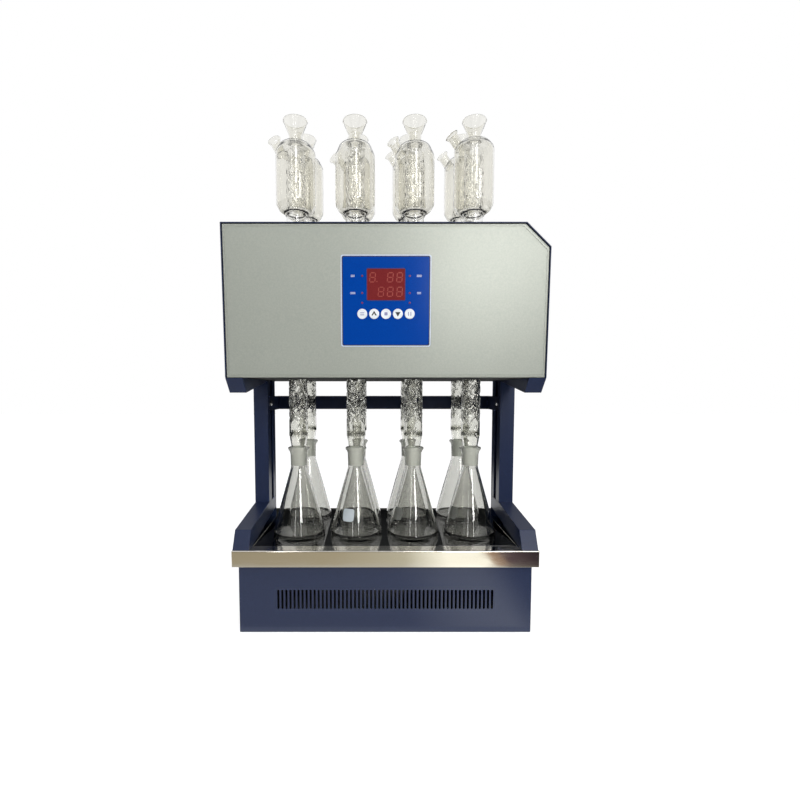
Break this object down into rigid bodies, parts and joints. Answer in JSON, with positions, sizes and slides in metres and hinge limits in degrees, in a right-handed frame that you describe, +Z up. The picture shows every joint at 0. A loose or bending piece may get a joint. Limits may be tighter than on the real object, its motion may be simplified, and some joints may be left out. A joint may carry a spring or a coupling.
{
  "type": "block digester",
  "caption": "Block digester with a heated glass-ceramic plate, conical flasks and air-cooled reflux condensers rising through a control head on side frames.",
  "frame": {"origin": "on the bench under the middle of the overall width and depth", "axes": "+Z up, -Y towards the front with the control panel, +X to the right seen from the front"},
  "size_m": [0.453, 0.2642, 0.817],
  "materials": {
    "clear_glass": "gloss",
    "navy_paint": "satin",
    "shell_paint": "satin",
    "grey_panel_paint": "satin",
    "black_paint": "satin",
    "polished_steel": "polished",
    "galvanised_steel": "satin",
    "black_glass_ceramic": "gloss",
    "heater_ceramic": "matte",
    "rubber": "matte",
    "black_plastic": "satin",
    "rocker_plastic": "gloss",
    "terminal_plastic": "matte",
    "board_laminate": "satin",
    "plated_steel": "polished",
    "blue_overlay": "gloss",
    "red_window": "gloss",
    "lamp_lens": "gloss",
    "white_keys": "gloss"
  },
  "bodies": {
    "frame": {"base_cabinet": "navy_paint", "base_floor": "navy_paint", "base_rear_panel": "navy_paint", "board_posts": "plated_steel", "control_board": "board_laminate", "control_overlay": "blue_overlay", "crossbar": "black_paint", "crossbar_screws": "plated_steel", "display_module": "black_plastic", "display_window": "red_window", "glass_ceramic_plate": "black_glass_ceramic", "head_back_panel": "navy_paint", "head_floor": "black_paint", "head_front_panel": "grey_panel_paint", "head_shell": "shell_paint", "heater_pan": "galvanised_steel", "heater_tiles": "heater_ceramic", "indicator_lamps": "lamp_lens", "insulation_board": "heater_ceramic", "key_switches": "black_plastic", "left_column": "navy_paint", "left_fan_frame": "black_plastic", "left_lower_arm": "navy_paint", "left_upper_arm": "navy_paint", "mains_inlet": "black_plastic", "power_relay": "black_plastic", "right_column": "navy_paint", "right_fan_frame": "black_plastic", "right_lower_arm": "navy_paint", "right_upper_arm": "navy_paint", "rubber_feet": "rubber", "steel_tray": "polished_steel", "switch_frame": "black_plastic", "temperature_probe": "plated_steel", "terminal_block": "terminal_plastic"},
    "power_rocker": {"power_rocker": "rocker_plastic"},
    "left_fan_rotor": {"left_fan_rotor": "black_plastic"},
    "right_fan_rotor": {"right_fan_rotor": "black_plastic"},
    "key_down": {"key_down": "white_keys"},
    "key_light": {"key_light": "white_keys"},
    "key_set": {"key_set": "white_keys"},
    "key_start": {"key_start": "white_keys"},
    "key_up": {"key_up": "white_keys"},
    "condenser_1": {"condenser_1": "clear_glass"},
    "condenser_2": {"condenser_2": "clear_glass"},
    "condenser_3": {"condenser_3": "clear_glass"},
    "condenser_4": {"condenser_4": "clear_glass"},
    "condenser_5": {"condenser_5": "clear_glass"},
    "condenser_6": {"condenser_6": "clear_glass"},
    "condenser_7": {"condenser_7": "clear_glass"},
    "condenser_8": {"condenser_8": "clear_glass"},
    "flask_1": {"flask_1": "clear_glass"},
    "flask_2": {"flask_2": "clear_glass"},
    "flask_3": {"flask_3": "clear_glass"},
    "flask_4": {"flask_4": "clear_glass"},
    "flask_5": {"flask_5": "clear_glass"},
    "flask_6": {"flask_6": "clear_glass"},
    "flask_7": {"flask_7": "clear_glass"},
    "flask_8": {"flask_8": "clear_glass"}
  },
  "joints": [
    {"name": "flask_1_lift", "type": "slide", "parent": "frame", "child": "flask_1", "axis": [0, 0, 1], "range_m": [0, 0.08]},
    {"name": "condenser_1_lift", "type": "slide", "parent": "flask_1", "child": "condenser_1", "axis": [0, 0, 1], "range_m": [0, 0.06]},
    {"name": "flask_2_lift", "type": "slide", "parent": "frame", "child": "flask_2", "axis": [0, 0, 1], "range_m": [0, 0.08]},
    {"name": "condenser_2_lift", "type": "slide", "parent": "flask_2", "child": "condenser_2", "axis": [0, 0, 1], "range_m": [0, 0.06]},
    {"name": "flask_3_lift", "type": "slide", "parent": "frame", "child": "flask_3", "axis": [0, 0, 1], "range_m": [0, 0.08]},
    {"name": "condenser_3_lift", "type": "slide", "parent": "flask_3", "child": "condenser_3", "axis": [0, 0, 1], "range_m": [0, 0.06]},
    {"name": "flask_4_lift", "type": "slide", "parent": "frame", "child": "flask_4", "axis": [0, 0, 1], "range_m": [0, 0.08]},
    {"name": "condenser_4_lift", "type": "slide", "parent": "flask_4", "child": "condenser_4", "axis": [0, 0, 1], "range_m": [0, 0.06]},
    {"name": "flask_5_lift", "type": "slide", "parent": "frame", "child": "flask_5", "axis": [0, 0, 1], "range_m": [0, 0.08]},
    {"name": "condenser_5_lift", "type": "slide", "parent": "flask_5", "child": "condenser_5", "axis": [0, 0, 1], "range_m": [0, 0.06]},
    {"name": "flask_6_lift", "type": "slide", "parent": "frame", "child": "flask_6", "axis": [0, 0, 1], "range_m": [0, 0.08]},
    {"name": "condenser_6_lift", "type": "slide", "parent": "flask_6", "child": "condenser_6", "axis": [0, 0, 1], "range_m": [0, 0.06]},
    {"name": "flask_7_lift", "type": "slide", "parent": "frame", "child": "flask_7", "axis": [0, 0, 1], "range_m": [0, 0.08]},
    {"name": "condenser_7_lift", "type": "slide", "parent": "flask_7", "child": "condenser_7", "axis": [0, 0, 1], "range_m": [0, 0.06]},
    {"name": "flask_8_lift", "type": "slide", "parent": "frame", "child": "flask_8", "axis": [0, 0, 1], "range_m": [0, 0.08]},
    {"name": "condenser_8_lift", "type": "slide", "parent": "flask_8", "child": "condenser_8", "axis": [0, 0, 1], "range_m": [0, 0.06]},
    {"name": "key_down_press", "type": "slide", "parent": "frame", "child": "key_down", "axis": [0, 0.9992, 0.0409], "range_m": [0, 0.001], "stiffness_N_per_m": 300},
    {"name": "key_light_press", "type": "slide", "parent": "frame", "child": "key_light", "axis": [0, 0.9992, 0.0409], "range_m": [0, 0.001], "stiffness_N_per_m": 300},
    {"name": "key_set_press", "type": "slide", "parent": "frame", "child": "key_set", "axis": [0, 0.9992, 0.0409], "range_m": [0, 0.001], "stiffness_N_per_m": 300},
    {"name": "key_start_press", "type": "slide", "parent": "frame", "child": "key_start", "axis": [0, 0.9992, 0.0409], "range_m": [0, 0.001], "stiffness_N_per_m": 300},
    {"name": "key_up_press", "type": "slide", "parent": "frame", "child": "key_up", "axis": [0, 0.9992, 0.0409], "range_m": [0, 0.001], "stiffness_N_per_m": 300},
    {"name": "power_rocker_tip", "type": "hinge", "parent": "frame", "child": "power_rocker", "pos_m": [0.096, 0.11765, 0.048], "axis": [1, 0, 0], "range_deg": [-22, 0]},
    {"name": "left_fan_spin", "type": "hinge", "parent": "frame", "child": "left_fan_rotor", "pos_m": [-0.0934, 0.11365, 0.4915], "axis": [0, 1, 0], "continuous": true},
    {"name": "right_fan_spin", "type": "hinge", "parent": "frame", "child": "right_fan_rotor", "pos_m": [0.0934, 0.11365, 0.4915], "axis": [0, 1, 0], "continuous": true}
  ]
}
